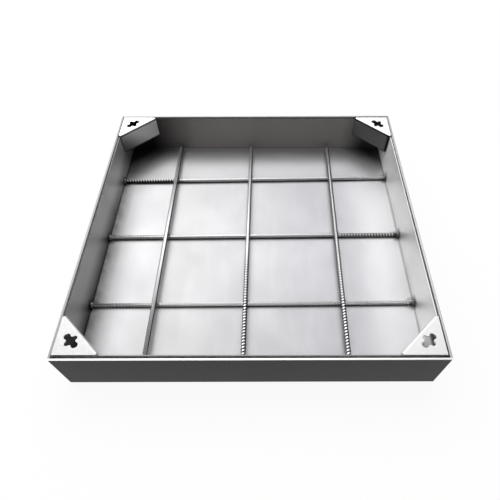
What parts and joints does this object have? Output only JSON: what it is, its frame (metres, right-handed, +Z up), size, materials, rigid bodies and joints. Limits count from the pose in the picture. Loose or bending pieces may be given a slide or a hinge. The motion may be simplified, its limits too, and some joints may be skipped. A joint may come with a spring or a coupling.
{
  "type": "recessed paving cover",
  "caption": "Square stainless steel frame with a loose recessed tray for paving infill, corner gussets with lifting key slots, and reinforcing bars welded across its floor.",
  "frame": {"origin": "middle of the frame's underside", "axes": "+Z up out of the recess, +X to the right and +Y to the back in the picture"},
  "size_m": [0.6, 0.6, 0.085],
  "materials": {
    "frame_steel": "austenitic stainless angle, satin mill finish, rim dressed bright",
    "tray_steel": "cold-rolled stainless sheet, pale matt mill finish",
    "gusset_steel": "laser-cut and folded stainless plate, pale matt mill finish",
    "bar_steel": "hot-rolled ribbed stainless bar, pickled grey",
    "weld_metal": "stainless weld beads, brushed clean"
  },
  "bodies": {
    "root": {"frame_front": "frame_steel", "frame_right": "frame_steel", "frame_back": "frame_steel", "frame_left": "frame_steel", "tray": "tray_steel", "corner_gusset_front_left": "gusset_steel", "corner_gusset_front_right": "gusset_steel", "corner_gusset_back_left": "gusset_steel", "corner_gusset_back_right": "gusset_steel", "cross_bar_front": "bar_steel", "cross_bar_middle": "bar_steel", "cross_bar_back": "bar_steel", "long_bar_left": "bar_steel", "long_bar_middle": "bar_steel", "long_bar_right": "bar_steel", "bar_end_welds": "weld_metal", "crossing_welds": "weld_metal", "tray_corner_welds": "weld_metal", "gusset_welds": "weld_metal", "frame_corner_welds": "weld_metal"}
  },
  "joints": []
}
